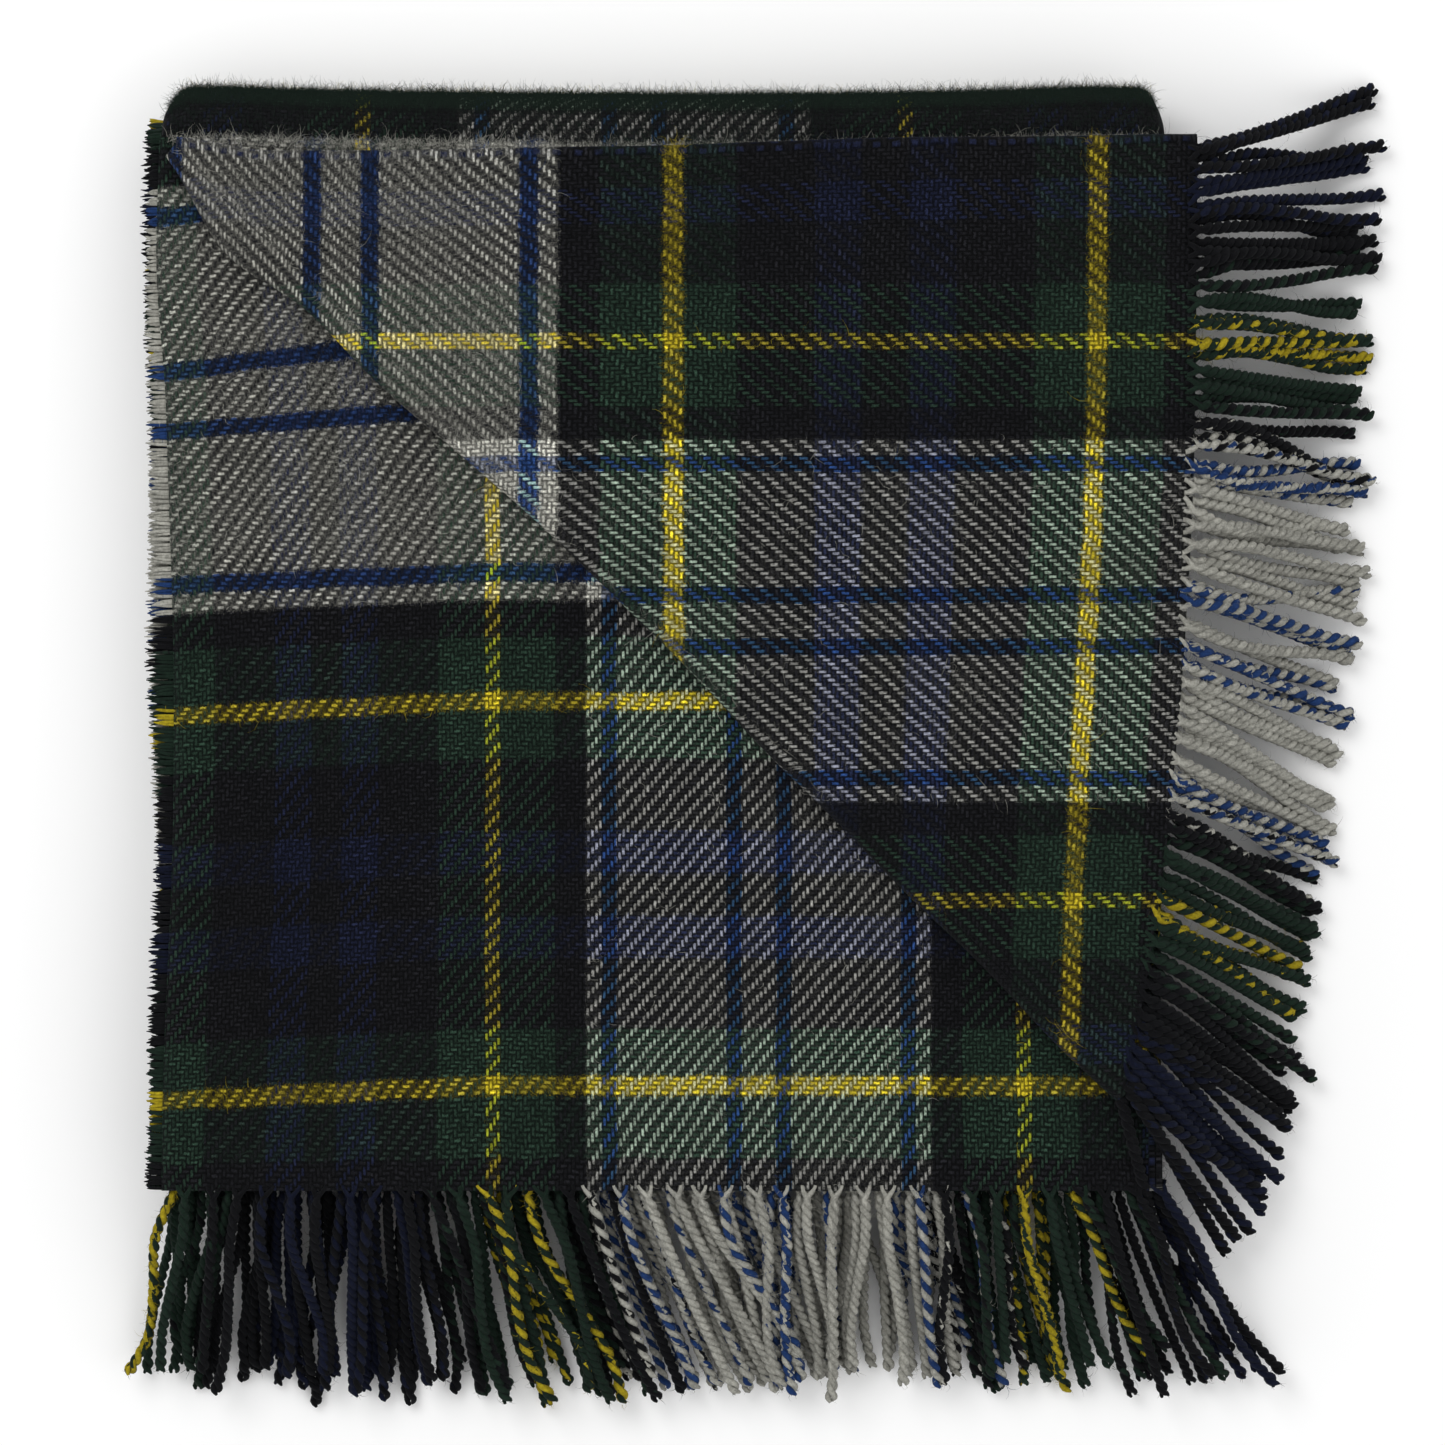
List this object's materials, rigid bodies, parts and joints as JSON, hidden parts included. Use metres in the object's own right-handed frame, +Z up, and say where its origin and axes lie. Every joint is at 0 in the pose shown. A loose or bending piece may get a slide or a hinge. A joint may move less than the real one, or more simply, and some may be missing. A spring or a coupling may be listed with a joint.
{
  "type": "folded throw blanket",
  "caption": "Brushed wool tartan throw folded into a flat square stack, one fringed corner turned back across the top to show the cloth's other side.",
  "frame": {"origin": "on the surface it lies on, under the middle of the folded stack", "axes": "+X across the stack towards the edge that the turned corner's fringe hangs over, +Y towards the rolled far edge, +Z up"},
  "size_m": [0.4368, 0.454, 0.0446],
  "materials": {
    "wool_cloth": "brushed 2/2 twill in cream, black, dark green, blue, navy and yellow",
    "wool_fringe": "twisted wool cords in the warp's colours",
    "wool_fray": "loose weft ends"
  },
  "bodies": {
    "stack": {"crease_roll": "wool_cloth", "far_roll_inner": "wool_cloth", "far_roll_outer": "wool_cloth", "left_fold_1": "wool_cloth", "left_fold_2": "wool_cloth", "left_fold_3": "wool_cloth", "near_fringe_1": "wool_fringe", "near_fringe_2": "wool_fringe", "near_fringe_3": "wool_fringe", "near_fringe_4": "wool_fringe", "near_fringe_5": "wool_fringe", "near_fringe_6": "wool_fringe", "near_roll": "wool_cloth", "ply_01": "wool_cloth", "ply_02": "wool_cloth", "ply_03": "wool_cloth", "ply_04": "wool_cloth", "ply_05": "wool_cloth", "ply_06": "wool_cloth", "ply_07": "wool_cloth", "ply_08": "wool_cloth", "ply_09": "wool_cloth", "ply_10": "wool_cloth", "ply_11": "wool_cloth", "ply_12": "wool_cloth", "ply_13": "wool_cloth", "ply_14": "wool_cloth", "ply_15": "wool_cloth", "ply_16": "wool_cloth", "right_fold_1": "wool_cloth", "right_fold_2": "wool_cloth", "right_fold_3": "wool_cloth", "right_fold_4": "wool_cloth", "selvedge_fray_1": "wool_fray", "selvedge_fray_2": "wool_fray", "selvedge_fray_3": "wool_fray", "selvedge_fray_4": "wool_fray"},
    "turned_corner": {"corner_edge_fold": "wool_cloth", "corner_inner_ply": "wool_cloth", "corner_outer_ply": "wool_cloth"},
    "corner_fringe": {"corner_fringe_lower": "wool_fringe", "corner_fringe_upper": "wool_fringe"}
  },
  "joints": [
    {"name": "corner_fold", "type": "hinge", "parent": "stack", "child": "turned_corner", "pos_m": [0.0015, 0.0015, 0.04], "axis": [0.7071, -0.7071, 0], "range_deg": [0, 178], "deforming": ["crease_roll"]},
    {"name": "corner_fringe_hang", "type": "hinge", "parent": "turned_corner", "child": "corner_fringe", "pos_m": [0.187, 0, 0.0425], "axis": [0, -1, 0], "range_deg": [0, 33]}
  ],
  "couplings": [
    {"joint": "corner_fringe_hang", "follows": "corner_fold", "ratio": 0.18}
  ]
}
